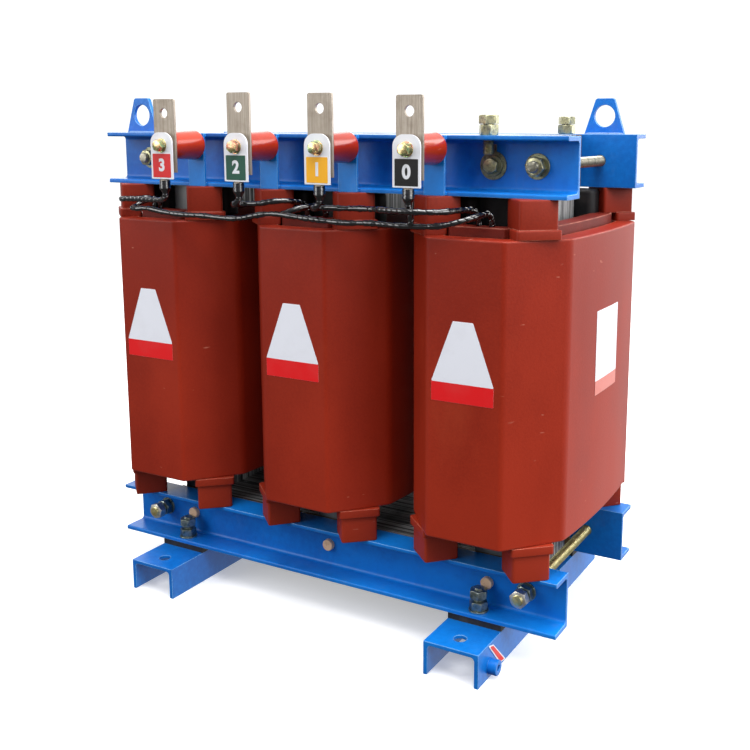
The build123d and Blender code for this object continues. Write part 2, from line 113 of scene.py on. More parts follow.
class Graph:  # one material, or the world, under construction
    def __init__(self, name, owner=None, place="Object"):
        self.owner = owner or bpy.data.materials.new(name)
        self.owner.use_nodes = True
        self.tree = self.owner.node_tree
        self.tree.nodes.clear()
        self.spot = self.node("ShaderNodeTexCoord", output=place)

    def node(self, kind, settings=None, inputs=None, output=0):
        made = self.tree.nodes.new(kind)
        for key, value in (settings or {}).items():
            if key == "stops":
                while len(made.color_ramp.elements) < len(value):
                    made.color_ramp.elements.new(0.5)
                for stop, (place, colour) in zip(made.color_ramp.elements, value):
                    stop.position = place
                    stop.color = colour
            else:
                setattr(made, key, value)
        for key, value in (inputs or {}).items():
            if isinstance(value, Socket):
                self.tree.links.new(value.end, made.inputs[key])
            else:
                made.inputs[key].default_value = value
        return Socket(self, made.outputs[output]) if len(made.outputs) else None

    def maths(self, operation, *values):
        return self.node("ShaderNodeMath", {"operation": operation}, dict(enumerate(values)))

    def axis(self, letter):
        return self.node("ShaderNodeSeparateXYZ", None, {0: self.spot}, letter)

    def noise(self, scale, detail=3.0, rough=0.5, stretch=(1.0, 1.0, 1.0), shift=0.0):
        at = self.node("ShaderNodeMapping", None, {"Vector": self.spot, "Scale": stretch,
                                                   "Location": (shift,) * 3})
        return self.node("ShaderNodeTexNoise", None,
                         {"Vector": at, "Scale": scale, "Detail": detail, "Roughness": rough})

    def spread(self, value, low, high):  # 0 below low, 1 above high, smooth between
        return self.node("ShaderNodeMapRange", {"interpolation_type": "SMOOTHSTEP"},
                         {"Value": value, "From Min": low, "From Max": high})

    def mix(self, share, first, second):
        return self.node("ShaderNodeMix", {"data_type": "RGBA"}, {0: share, 6: first, 7: second}, 2)

    def ramp(self, value, stops):
        return self.node("ShaderNodeValToRGB", {"stops": stops}, {0: value})

    def softened(self, radius):  # the normal as it would be with this much rounding on every edge
        return self.node("ShaderNodeBevel", {"samples": 6}, {"Radius": radius})

    def edges(self, radius, low=0.02, high=0.2):  # 1 on edges, where the softened normal leaves the true one
        true = self.node("ShaderNodeNewGeometry", output="Normal")
        same = self.node("ShaderNodeVectorMath", {"operation": "DOT_PRODUCT"},
                         {0: self.softened(radius), 1: true}, 1)
        return self.spread(1.0 - same, low, high)

    def bump(self, height, distance, strength=1.0, onto=None):
        inputs = {"Height": height, "Distance": distance, "Strength": strength}
        if onto is not None:
            inputs["Normal"] = onto
        return self.node("ShaderNodeBump", None, inputs)

    def surface(self, **sockets):  # Base_Color stands for Base Color, and so on
        shader = self.node("ShaderNodeBsdfPrincipled", None,
                           {k.replace("_", " "): v for k, v in sockets.items()})
        self.node("ShaderNodeOutputMaterial", None, {"Surface": shader})
        return self.owner


def paintedSteel(name, look):
    # Enamel: broad clouds and fine specks between two blues, paler on edges as worn coat and painted
    # highlight, and dust
    g = Graph(name)
    clouds = g.noise(look["cloud"], 3.0)
    specks = g.noise(look["speck"], 2.0, 0.6)
    # paler edges: partly worn coat, partly a painted highlight along the rims
    rubbedAndHighlit = g.edges(look["edge"]) * (0.55 + 0.45 * g.spread(g.noise(look["cloud"] * 9, 4.0), 0.35, 0.65))
    colour = g.mix(g.spread(clouds * 0.7 + specks * 0.3, 0.35, 0.65), look["deep"], look["body"])
    colour = g.mix(rubbedAndHighlit * look["bareAndHighlit"], colour, look["thinCoatAndHighlight"])
    dust = g.spread(g.noise(look["cloud"] * 4, 6.0, 0.65, (1, 1, 0.5), 3.0), 0.56, 0.75)
    colour = g.mix(dust * look["dusty"], colour, look["dust"])
    peel = g.noise(look["peel"], 2.0) * 0.6 + g.noise(look["peel"] * 0.16, 2.0) * 0.4
    return g.surface(Base_Color=colour, Roughness=look["rough"] + 0.16 * clouds + 0.3 * dust * look["dusty"],
                     Normal=g.bump(peel, look["peelHigh"], 0.6, g.softened(look["edge"])),
                     Specular_IOR_Level=look["shine"])


def castResin(name, look):
    # Filled resin with wide mottling, pale edges that are partly rubbed wear and partly a painted highlight,
    # thin scuffs and a slow waviness left by the mould
    g = Graph(name)
    broad = g.noise(look["mottle"], 4.0, 0.55, (1, 1, 0.6))
    fine = g.noise(look["grain"], 3.0, 0.6)
    colour = g.mix(g.spread(broad * 0.8 + fine * 0.2, 0.36, 0.64), look["dark"], look["body"])
    patch = g.spread(g.noise(look["mottle"] * 2.3, 5.0, 0.6, (1, 1, 0.35), 7.0), 0.58, 0.8)
    colour = g.mix(patch * 0.35, colour, look["chalk"])
    chips = g.spread(g.noise(look["chip"], 5.0, 0.65), 0.42, 0.62)
    # pale edges: partly rubbed wear, partly a painted highlight on rims and chamfer corners
    rubbedAndHighlit = g.edges(look["edge"], 0.006, 0.12) * (0.4 + 0.6 * chips)
    colour = g.mix(rubbedAndHighlit * look["wornAndHighlit"], colour, look["pale"])
    scuff = g.spread(g.noise(70.0, 2.0, 0.5, (0.5, 0.5, 1.6), 2.0), 0.72, 0.78) \
        * g.spread(g.noise(5.0, 2.0, 0.5, (1, 1, 1), 5.0), 0.5, 0.62)
    colour = g.mix(scuff * 0.45, colour, look["pale"])
    wave = g.noise(look["wave"], 1.0, 0.4, (1.0, 1.0, 0.25))
    skin = g.bump(fine, look["grainHigh"], 0.5, g.softened(look["edge"]))
    return g.surface(Base_Color=colour, Roughness=look["rough"] + 0.14 * broad + 0.2 * rubbedAndHighlit + 0.12 * scuff,
                     Normal=g.bump(wave, look["waveHigh"], 0.7, skin), Coat_Weight=look["coat"],
                     Coat_Roughness=0.12, Specular_IOR_Level=look["shine"])


def platedMetal(name, look):
    # Plating whose tint wanders through a few close colours, with rubbed edges and faint pits
    g = Graph(name)
    wander = g.noise(look["wander"], 3.0, 0.55)
    colour = g.ramp(wander, look["tints"])
    stain = g.spread(g.noise(look["wander"] * 2.7, 5.0, 0.65, (1, 1, 1), 4.0), 0.5, 0.72)
    colour = g.mix(stain * look["stained"], colour, look["stain"])
    colour = g.mix(g.edges(0.0006) * 0.5, colour, look["bright"])
    pits = g.noise(look["pits"], 3.0, 0.6)
    return g.surface(Base_Color=colour, Metallic=1.0 - 0.45 * stain, Roughness=look["rough"] + 0.25 * stain,
                     Normal=g.bump(pits, 0.0003, 0.4, g.softened(0.0006)))


def laminatedSteel(name, look):
    # Stacked sheets: packs come out pale or near black across Y, under finer lines and oil stains
    g = Graph(name)
    fine = g.noise(1.0, 2.0, 0.7, (3.0, 620.0, 3.0))
    packs = g.noise(1.0, 2.0, 0.6, (1.2, 210.0, 1.2), 3.0)
    colour = g.mix(g.spread(packs * 0.75 + fine * 0.25, 0.42, 0.6), look["dark"], look["pale"])
    stain = g.spread(g.noise(9.0, 5.0, 0.6, (1, 1, 0.5)), 0.5, 0.7)
    colour = g.mix(stain * 0.45, colour, look["stain"])
    return g.surface(Base_Color=colour, Metallic=0.5, Roughness=0.38 + 0.25 * stain,
                     Normal=g.bump(packs * 0.6 + fine * 0.4, 0.0014, 0.8, g.softened(0.001)))


def plainCoat(name, look):
    # Smooth coat with faint grime in clouds and at the edges
    g = Graph(name)
    grime = g.spread(g.noise(look["cloud"], 5.0, 0.6), 0.45, 0.75)
    colour = g.mix(grime * look["grimy"], look["body"], look["grime"])
    colour = g.mix(g.edges(0.0008) * 0.4, colour, look["edge"])
    return g.surface(Base_Color=colour, Roughness=look["rough"] + 0.2 * grime, Specular_IOR_Level=0.3,
                     Normal=g.bump(g.noise(look["cloud"] * 14, 2.0), 0.0002, 0.4, g.softened(0.0006)))


# The pale edge colour and its share stand partly for thinned coat and partly for a painted highlight on the
# edges
enamel = {"body": tint(13, 120, 210), "deep": tint(9, 98, 186), "thinCoatAndHighlight": tint(160, 214, 250),
          "dust": tint(150, 170, 185), "cloud": 5.0, "speck": 90.0, "edge": 0.0024, "bareAndHighlit": 0.95,
          "peel": 420.0, "peelHigh": 0.0005, "rough": 0.26, "dusty": 0.1, "shine": 0.3}
# The bushing strips get a brighter copy of the enamel: painted light, as they stand lit in front of the
# shaded web
litStripEnamel = dict(enamel, body=tint(18, 134, 226), deep=tint(14, 120, 212))
# pale on the edges stands partly for wear and partly for a painted highlight
coilLook = {"body": tint(154, 43, 21), "dark": tint(132, 33, 15), "chalk": tint(170, 66, 38),
            "pale": tint(226, 156, 132), "mottle": 3.2, "grain": 260.0, "grainHigh": 0.0004, "edge": 0.0036,
            "chip": 46.0, "wornAndHighlit": 0.8, "wave": 7.0, "waveHigh": 0.004, "rough": 0.36, "coat": 0.0,
            "shine": 0.2}
innerLook = dict(coilLook, body=tint(136, 40, 26), dark=tint(96, 24, 14), wornAndHighlit=0.5, rough=0.46)
blockLook = dict(coilLook, body=tint(150, 45, 24), dark=tint(126, 35, 18), chip=90.0, edge=0.002, wave=14.0,
                 waveHigh=0.002, rough=0.42)
bushingLook = dict(coilLook, body=tint(176, 50, 20), dark=tint(150, 38, 14), wornAndHighlit=0.2, wave=20.0,
                   waveHigh=0.001, rough=0.16, coat=0.35, shine=0.42)
yellowZinc = {"tints": [(0.3, tint(214, 128, 104)), (0.42, tint(238, 176, 140)), (0.52, tint(214, 204, 140)),
                        (0.62, tint(150, 186, 140)), (0.72, tint(214, 128, 132))],
              "stain": tint(84, 60, 44), "bright": tint(246, 232, 214), "wander": 60.0, "pits": 700.0,
              "stained": 0.5, "rough": 0.24}
darkZinc = dict(yellowZinc, tints=[(0.3, tint(96, 112, 104)), (0.5, tint(158, 168, 158)),
                                   (0.7, tint(116, 126, 118))],
                stain=tint(40, 44, 42), stained=0.65, rough=0.32)
oliveZinc = dict(yellowZinc, tints=[(0.3, tint(104, 108, 88)), (0.5, tint(148, 150, 124)),
                                    (0.7, tint(120, 118, 92))],
                 stain=tint(56, 54, 40), stained=0.7, rough=0.4)
paleZinc = dict(yellowZinc, tints=[(0.3, tint(120, 118, 104)), (0.5, tint(196, 192, 150)),
                                   (0.7, tint(140, 138, 124))],
                stain=tint(70, 68, 62), stained=0.6, rough=0.36, wander=110.0)
rodLook = dict(yellowZinc, tints=[(0.3, tint(112, 112, 100)), (0.5, tint(166, 162, 146)),
                                  (0.7, tint(136, 132, 116))],
               stain=tint(64, 60, 50), stained=0.5, rough=0.34)
goldZinc = dict(yellowZinc, tints=[(0.3, tint(200, 186, 120)), (0.5, tint(234, 224, 164)),
                                   (0.7, tint(206, 192, 128))],
                stain=tint(120, 104, 60), stained=0.3, rough=0.3)
endZinc = dict(yellowZinc, tints=[(0.3, tint(196, 192, 180)), (0.5, tint(228, 224, 212)),
                                  (0.7, tint(204, 200, 184))],
               stain=tint(110, 104, 90), stained=0.35, rough=0.42)
sheets = {"dark": tint(26, 28, 32), "pale": tint(186, 188, 188), "stain": tint(44, 38, 34)}

framePaint = paintedSteel("framePaint", enamel)
litStripPaint = paintedSteel("litStripPaint", litStripEnamel)
coilResin = castResin("coilResin", coilLook)
innerResin = castResin("innerResin", innerLook)
blockResin = castResin("blockResin", blockLook)
bushingResin = castResin("bushingResin", bushingLook)
boltZinc = platedMetal("boltZinc", yellowZinc)
nutZinc = platedMetal("nutZinc", darkZinc)
greyZinc = platedMetal("greyZinc", paleZinc)
rodSteel = platedMetal("rodSteel", rodLook)
oliveDisc = platedMetal("oliveDisc", oliveZinc)
goldRod = platedMetal("goldRod", goldZinc)
paleNut = platedMetal("paleNut", endZinc)
studHeads = plainCoat("studHeads", {"body": tint(226, 190, 156), "grime": tint(176, 138, 106),
                                    "edge": tint(240, 216, 190), "cloud": 90.0, "grimy": 0.5, "rough": 0.4})
coreSteel = laminatedSteel("coreSteel", sheets)
padRubber = plainCoat("padRubber", {"body": tint(36, 36, 38), "grime": tint(92, 86, 76),
                                    "edge": tint(70, 70, 70), "cloud": 14.0, "grimy": 0.5, "rough": 0.6})
pressBoard = plainCoat("pressBoard", {"body": tint(120, 92, 62), "grime": tint(60, 46, 34),
                                      "edge": tint(160, 132, 96), "cloud": 10.0, "grimy": 0.6,
                                      "rough": 0.62})
tagWhite = plainCoat("tagWhite", {"body": tint(226, 228, 234), "grime": tint(190, 186, 178),
                                  "edge": tint(250, 250, 252), "cloud": 40.0, "grimy": 0.25, "rough": 0.32})


def ribbedBar():
    # Tinned copper: upright ribs from a sine of x, streaks along Z, and darker stains
    g = Graph("barMetal")
    ribs = g.maths("SINE", g.axis("X") * (2 * math.pi / 0.0026))
    streak = g.noise(1.0, 4.0, 0.6, (420.0, 420.0, 14.0))
    stain = g.spread(g.noise(26.0, 5.0, 0.65), 0.46, 0.7)
    colour = g.ramp(streak * 0.75 + ribs * 0.08 + 0.1,
                    [(0.3, tint(146, 134, 120)), (0.5, tint(172, 160, 145)), (0.7, tint(194, 184, 170))])
    colour = g.mix(stain * 0.35, colour, tint(120, 104, 84))
    colour = g.mix(g.edges(0.0008) * 0.5, colour, tint(48, 40, 32))
    return g.surface(Base_Color=colour, Metallic=0.45 - 0.2 * stain, Roughness=0.38 + 0.2 * stain,
                     Normal=g.bump(ribs * 0.6 + streak * 0.5, 0.0004, 0.6, g.softened(0.0008)))


def wrappedTape():
    # Black adhesive tape: glossy, with dull smears and fine wrinkles
    g = Graph("leadTape")
    smear = g.spread(g.noise(90.0, 4.0, 0.6), 0.5, 0.75)
    colour = g.mix(smear * 0.4, tint(5, 5, 7), tint(28, 28, 32))
    return g.surface(Base_Color=colour, Roughness=0.09 + 0.22 * smear, Specular_IOR_Level=1.0,
                     Normal=g.bump(g.noise(300.0, 2.0, 0.6), 0.0006, 0.5))


def printedLabel(name, ink):
    # Vinyl label: even ink with faint dirt and a soft ripple where it was smoothed down
    return plainCoat(name, {"body": ink, "grime": tint(120, 106, 98), "edge": tint(235, 225, 220),
                            "cloud": 24.0, "grimy": 0.06, "rough": 0.36})


labelWhite = printedLabel("labelWhite", tint(230, 232, 240))
labelRed = printedLabel("labelRed", tint(222, 26, 30))
labelPale = printedLabel("labelPale", tint(206, 120, 110))
tagColours = [printedLabel(f"tagColour{i}", ink) for i, ink in enumerate(
    (tint(206, 24, 28), tint(12, 76, 58), tint(240, 172, 10), tint(3, 3, 5)), start=1)]
# Pale blue on the lug weld beads is painted light: it stands for light on their upward faces
litWeldBlue = plainCoat("litWeldBlue", {"body": tint(120, 150, 190), "grime": tint(70, 100, 150),
                                    "edge": tint(190, 205, 225), "cloud": 90.0, "grimy": 0.7, "rough": 0.4})
barMetal = ribbedBar()
leadTape = wrappedTape()
# Dull black for the blocks that fill the gaps under the upper clamps: painted shade
shadeBlack = plainCoat("shadeBlack", {"body": tint(14, 14, 16), "grime": tint(44, 38, 36),
                                  "edge": tint(36, 36, 38), "cloud": 30.0, "grimy": 0.6, "rough": 0.55})

finishes = {
    framePaint: ["base_channel_left", "base_channel_right", "lower_clamp_front", "lower_clamp_back",
                 "upper_clamp_front", "upper_clamp_back", "lifting_lug_front_left", "lifting_lug_back_right",
                 "earth_boss"],
    litStripPaint: ["bushing_strips"],
    padRubber: ["base_pads"],
    coreSteel: ["core_limb_left", "core_limb_middle", "core_limb_right", "core_yoke_bottom",
                "core_yoke_top"],
    pressBoard: ["yoke_boards"],
    coilResin: ["hv_coil_left", "hv_coil_middle", "hv_coil_right"],
    innerResin: ["lv_coil_left", "lv_coil_middle", "lv_coil_right"],
    blockResin: ["top_blocks_left", "top_blocks_middle", "top_blocks_right", "bottom_blocks_left",
                 "bottom_blocks_middle", "bottom_blocks_right"],
    bushingResin: ["bushing_1", "bushing_2", "bushing_3", "bushing_4"],
    barMetal: ["terminal_bar_1", "terminal_bar_2", "terminal_bar_3", "terminal_bar_4", "cable_lugs"],
    tagWhite: ["terminal_tags"],
    boltZinc: ["terminal_bolts", "upper_tie_rods", "earth_bolt", "pressing_bolts"],
    studHeads: ["core_studs"],
    oliveDisc: ["earth_lug"],
    nutZinc: ["lower_tie_rods", "base_bolts"],
    leadTape: ["lead_1", "lead_2", "lead_3", "neutral_link"],
}
for finish, names in finishes.items():
    for name in names:
        nodes[name].data.materials.clear()
        nodes[name].data.materials.append(finish)
print("finishes are on the CAD parts")


# Floor and light

studio = {"floor": tint(240, 240, 240), "glow": 0.4, "bright": (1.15, 1.15, 1.15, 1.0),
          "dim": (0.34, 0.35, 0.38, 1.0), "ground": (0.16, 0.155, 0.15, 1.0), "lean": (0.45, 0.9),
          "fade": (-0.6, 0.15), "groundFade": (0.35, 0.85), "rim": (-0.06, -0.017),
          "lamps": [((3.6, -0.6, 2.2), 2.2, 75.0), ((2.4, 3.2, 1.9), 2.4, 60.0),
                    ((-2.8, -3.4, 2.2), 3.0, 108.0), ((0.6, 0.4, 4.5), 2.2, 130.0),
                    ((0.9, -1.3, 4.0), 2.4, 110.0), ((-2.6, 3.4, 2.4), 3.0, 40.0)]}

floorMesh = bpy.data.meshes.new("floor")
turn = np.linspace(0, 2 * math.pi, 64, endpoint=False)
floorMesh.from_pydata(np.stack([60 * np.cos(turn), 60 * np.sin(turn), 0 * turn], axis=1).tolist(), [],
                      [list(range(64))])
floor = bpy.data.objects.new("floor", floorMesh)
scene.collection.objects.link(floor)
# The floor lights no part and shows in none: what the room has below the floor's rim does both in its stead
floor.visible_diffuse = floor.visible_glossy = False
ground = Graph("floorPaint")
floorMesh.materials.append(ground.surface(
    Base_Color=studio["floor"], Roughness=0.7 + 0.1 * ground.noise(3.0), Specular_IOR_Level=0.0,
    Emission_Color=studio["floor"], Emission_Strength=studio["glow"]))

# The room is bright behind the transformer and to its right, dim in front, and dimmer still below the
# floor's rim except far behind: its glow follows the direction's share along the lean, faded smoothly
scene.world = bpy.data.worlds.new("studio")
room = Graph("studio", scene.world, "Generated")
towards = room.axis("X") * studio["lean"][0] + room.axis("Y") * studio["lean"][1]
shade = room.mix(room.spread(towards, *studio["fade"]), studio["dim"], studio["bright"])
earth = room.mix(room.spread(towards, *studio["groundFade"]), studio["ground"], studio["bright"])
shade = room.mix(room.spread(room.axis("Z"), *studio["rim"]), earth, shade)
room.node("ShaderNodeOutputWorld", None,
          {"Surface": room.node("ShaderNodeBackground", None, {"Color": shade})})
for number, (place, size, power) in enumerate(studio["lamps"], start=1):
    lampData = bpy.data.lights.new(f"lamp{number}", "AREA")
    lampData.size = size
    lampData.energy = power
    lamp = bpy.data.objects.new(f"lamp{number}", lampData)
    lamp.location = place
    lamp.rotation_euler = (Vector((0, 0, 0.5)) - Vector(place)).to_track_quat("-Z", "Y").to_euler()
    scene.collection.objects.link(lamp)
scene.view_settings.view_transform = "Standard"
print("floor and light are in")


# Shapes worked out on grids

def skin(rings, lids=True):
    # Surface over a grid of points: each row is a closed ring, anticlockwise seen from where the rows are
    # heading, and is joined to the next row; the first and last rings get lids
    rows, around = rings.shape[:2]
    index = np.arange(rows * around).reshape(rows, around)
    ahead = np.roll(index, -1, axis=1)
    faces = np.stack([index[:-1], ahead[:-1], ahead[1:], index[1:]], axis=-1).reshape(-1, 4).tolist()
    if lids:
        faces += [index[0, ::-1].tolist(), index[-1].tolist()]
    return rings.reshape(-1, 3), faces


def gather(shapes):  # several shapes as one
    starts = np.cumsum([0] + [len(points) for points, faces in shapes])
    faces = [[int(start) + i for i in face] for start, (_, some) in zip(starts, shapes) for face in some]
    return np.concatenate([points for points, _ in shapes]), faces


def aim(shape, axis, at, turn=0.0):
    # A shape drawn about Z, turned about itself by an angle and then carried so that Z lies along the axis
    points, faces = shape
    c, s = math.cos(turn), math.sin(turn)
    points = points @ np.array([[c, s, 0], [-s, c, 0], [0, 0, 1]])
    axis = np.array(axis, float)
    side = np.array([1.0, 0, 0]) if abs(axis[0]) < 0.9 else np.array([0, 1.0, 0])
    return points @ np.array([side, np.cross(axis, side), axis]) + np.array(at), faces


def addPiece(name, parts, stands=(), smooth=32.0, weld=False):
    # parts pairs each shape with its finish; the piece rides on the body and may stand for CAD parts
    points, faces = gather([shape for shape, finish in parts])
    mesh = bpy.data.meshes.new(name)
    mesh.from_pydata(points.tolist(), [], faces)
    looks = list(dict.fromkeys(finish for shape, finish in parts))
    for look in looks:
        mesh.materials.append(look)
    chosen = np.concatenate([np.full(len(shape[1]), looks.index(finish)) for shape, finish in parts])
    mesh.polygons.foreach_set("material_index", chosen.astype(np.int32))
    if weld:  # poles of helical skins come down to one point
        work = bmesh.new()
        work.from_mesh(mesh)
        bmesh.ops.remove_doubles(work, verts=work.verts, dist=1e-7)
        work.to_mesh(mesh)
        work.free()
    mesh.shade_smooth()
    mesh.set_sharp_from_angle(angle=math.radians(smooth))
    piece = bpy.data.objects.new(name, mesh)
    scene.collection.objects.link(piece)
    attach(piece, "root")
    if stands:
        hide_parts(*stands)
    return piece


def turned(profile, around=48):  # each (radius, height) of the profile carried round Z
    profile = np.array(profile)
    angle = np.arange(around) / around * 2 * math.pi
    radius, height = profile[:, :1], profile[:, 1:]
    return skin(np.stack([radius * np.cos(angle), radius * np.sin(angle), height + 0 * angle], axis=-1))


def disc(diameter, low, high, edge=0.0004):  # flat round plate with softened rims
    r = diameter / 2
    return turned([(r - edge, low), (r, low + edge), (r, high - edge), (r - edge, high)])


def hexagon(across, low, high, footCut=True, around=72):
    # Radius at an angle is half the width across flats over the cosine of the angle from the middle of a
    # flat, and near the cut ends no more than a 30 degree cone
    angle = np.arange(around) / around * 2 * math.pi
    flats = across / 2 / np.cos(angle % (math.pi / 3) - math.pi / 6)
    cut = across * 0.06
    rise = np.array([0, cut * 0.3, cut * 0.6, cut])
    height = np.concatenate([low + rise, high - rise[::-1]])
    cone = across * 0.478 + (high - height) / math.tan(math.pi / 6)
    if footCut:
        cone = np.minimum(cone, across * 0.478 + (height - low) / math.tan(math.pi / 6))
    radius = np.minimum(flats[None, :], cone[:, None])
    return skin(np.stack([radius * np.cos(angle), radius * np.sin(angle), height[:, None] + 0 * angle],
                         axis=-1))


def framesOn(route):
    # Unit directions across a route, carried along it with no twist, and the distance run at each point
    runs = np.diff(route, axis=0)
    far = np.linalg.norm(runs, axis=1)
    heading = np.gradient(route, axis=0)
    heading /= np.linalg.norm(heading, axis=1)[:, None]
    across = [np.cross(heading[0], (0.3, 0.9, 0.2))]
    for here in heading[1:]:
        across.append(across[-1] - here * (across[-1] @ here))
    first = np.array(across)
    first /= np.linalg.norm(first, axis=1)[:, None]
    return first, np.cross(heading, first), np.concatenate([[0.0], np.cumsum(far)])


def helical(route, pitch, steps, around=24, swell=None, nose=0.0):
    # Rows follow a helix: at a row's phase and an angle the surface has run (phase + angle / turn - 1)
    # times the pitch along the route, and its radius is the step's. steps lists (phase within a turn,
    # radius). swell scales the radius by the distance run, and the ends come down to a point, over a nose
    # that is turned off at 45 degrees
    first, second, run = framesOn(route)
    steps = np.array(steps)
    turns = math.ceil(run[-1] / pitch) + 2
    phase = (np.arange(turns)[:, None] + steps[None, :, 0]).ravel()
    radius = np.tile(steps[:, 1], turns)[:, None]
    share = np.arange(around) / around
    along = (phase[:, None] + share[None, :] - 1.0) * pitch
    inside = (along > 0) & (along < run[-1])
    along = np.clip(along, 0, run[-1])
    if swell is not None:
        radius = radius * swell(along, run[-1])
    if nose:
        radius = np.minimum(radius, steps[:, 1].max() - nose + np.minimum(along, run[-1] - along))
    radius = np.where(inside, radius, 0.0)[..., None]
    place, right, up = [np.stack([np.interp(along, run, table[:, k]) for k in range(3)], axis=-1)
                        for table in (route, first, second)]
    angle = (share * 2 * math.pi)[None, :, None]
    rings = place + radius * (np.cos(angle) * right + np.sin(angle) * up)
    rows = len(phase)
    index = np.arange(rows * around).reshape(rows, around)
    # the last column meets the next turn
    shifted = np.minimum(np.arange(rows) + len(steps), rows - 1) * around
    ahead = np.concatenate([index[:, 1:], shifted[:, None]], axis=1)
    quads = np.stack([index[:-1], ahead[:-1], ahead[1:], index[1:]], axis=-1).reshape(-1, 4)
    kept = inside.ravel()[quads].any(axis=1)
    return rings.reshape(-1, 3), quads[kept].tolist()


def threaded(diameter, pitch, low, high):  # rod with a flat-crested thread and turned ends
    crest, root = diameter / 2, diameter / 2 - 0.58 * pitch
    route = np.array([[0, 0, low], [0, 0, (low + high) / 2], [0, 0, high]])
    return helical(route, pitch, [(0.0, crest), (0.14, crest), (0.5, root), (0.64, root)], 24, None,
                   0.6 * pitch)


def roundedBar(width, depth, low, high, corner, edges, offset=0.0):
    # Upright bar: a rectangle with round corners carried up Z, drawn in by a quarter circle at its two ends
    quarter = np.linspace(0, math.pi / 2, 6)
    foot, head = edges
    inset = np.concatenate([foot * (1 - np.sin(quarter)), head * (1 - np.cos(quarter))])[:, None]
    height = np.concatenate([low + foot * (1 - np.cos(quarter)),
                             high - head * (1 - np.sin(quarter))])[:, None]
    angle = np.concatenate([quarter + k * math.pi / 2 for k in range(4)])
    signX, signY = np.repeat([1, -1, -1, 1], 6), np.repeat([1, 1, -1, -1], 6)
    bend = np.maximum(corner - inset, 0.0003)
    x = signX * (width / 2 - inset - bend) + bend * np.cos(angle)
    y = signY * (depth / 2 - inset - bend) + bend * np.sin(angle) + offset
    return skin(np.stack([x, y, height + 0 * x], axis=-1))


def badge(corners, thick, radius=0.0015):
    # Flat plate with round corners: each corner of the outline becomes an arc between its two sides
    corners = np.array(corners, float)
    before, after = np.roll(corners, 1, axis=0) - corners, np.roll(corners, -1, axis=0) - corners
    before /= np.linalg.norm(before, axis=1)[:, None]
    after /= np.linalg.norm(after, axis=1)[:, None]
    half = np.arccos(np.clip((before * after).sum(axis=1), -1, 1)) / 2
    bisector = before + after
    bisector /= np.linalg.norm(bisector, axis=1)[:, None]
    heart = corners + bisector * (radius / np.sin(half))[:, None]
    # outward from the side that arrives, which runs anticlockwise
    start = np.arctan2(-before[:, 0], before[:, 1])
    sweep = math.pi - 2 * half
    angle = start[:, None] + math.pi + np.linspace(0, 1, 5)[None, :] * sweep[:, None]
    outline = (heart[:, None, :] + radius * np.stack([np.cos(angle), np.sin(angle)], axis=-1)).reshape(-1, 2)
    centre = outline.mean(axis=0)
    inner = centre + (outline - centre) * (1 - 0.0003 / np.abs(outline - centre).max())
    levels = [(outline, 0.0), (outline, thick * 0.7), (inner, thick)]
    return skin(np.stack([np.column_stack([flat, np.full(len(flat), z)]) for flat, z in levels]))


def towardsFront(shape, y):  # drawn in XY, stood up so that it faces -Y at the distance y
    points, faces = shape
    return np.column_stack([points[:, 0], y - points[:, 2], points[:, 1]]), faces


# Fasteners

spins = np.random.default_rng(7).uniform(0, 2 * math.pi, 64)  # how far each nut happened to be turned
topZ = float(boxOf("upper_clamp_front")[1][2])
underZ = float(boxOf("upper_clamp_front")[0][2])
upperMid = (topZ + underZ) / 2
lowerMid = float(middleOf("lower_clamp_front")[2])
webY = 0.161  # outer faces of the clamp webs from the core's middle
terminals = [middleOf(f"bushing_{i}") for i in range(1, 5)]

terminalBolt = {"across": 0.0195, "head": 0.010, "washer": (0.0262, 0.003), "upper": 0.0225,
                "shank": 0.0078, "sunk": 0.030}
face = float(boxOf("terminal_tags")[0][1])
parts = []
for number, spot in enumerate(terminals):
    at = (spot[0], face, spot[2])
    plate = terminalBolt["washer"][1]
    parts += [(aim(disc(terminalBolt["washer"][0], 0, plate * 0.5), (0, -1, 0), at), boltZinc),
              (aim(disc(terminalBolt["upper"], plate * 0.5, plate), (0, -1, 0), at), oliveDisc),
              (aim(hexagon(terminalBolt["across"], plate, plate + terminalBolt["head"], False), (0, -1, 0),
                   at, spins[number]), boltZinc),
              (aim(turned([(terminalBolt["shank"], -terminalBolt["sunk"]), (terminalBolt["shank"], 0.0004)],
                          24), (0, -1, 0), at), boltZinc)]
addPiece("terminal_bolt_heads", parts, ["terminal_bolts"])

upperRods = {"thread": (0.020, 0.0025), "across": 0.030, "nut": 0.016, "washer": (0.044, 0.003), "x": 0.430}
parts = []
tip = float(boxOf("upper_tie_rods")[1][1]) - coreY
for x in (-upperRods["x"], upperRods["x"]):
    parts.append((aim(threaded(*upperRods["thread"], -tip, tip), (0, 1, 0), (x, coreY, upperMid)), rodSteel))
    for side in (-1, 1):
        at, plate = (x, coreY + side * webY, upperMid), upperRods["washer"][1]
        parts += [(aim(disc(upperRods["washer"][0], 0, plate), (0, side, 0), at), oliveDisc),
                  (aim(hexagon(upperRods["across"], plate, plate + upperRods["nut"]), (0, side, 0), at,
                       spins[8 + side + int(x > 0) * 3]), greyZinc)]
addPiece("upper_rod_threads", parts, ["upper_tie_rods"], weld=True)

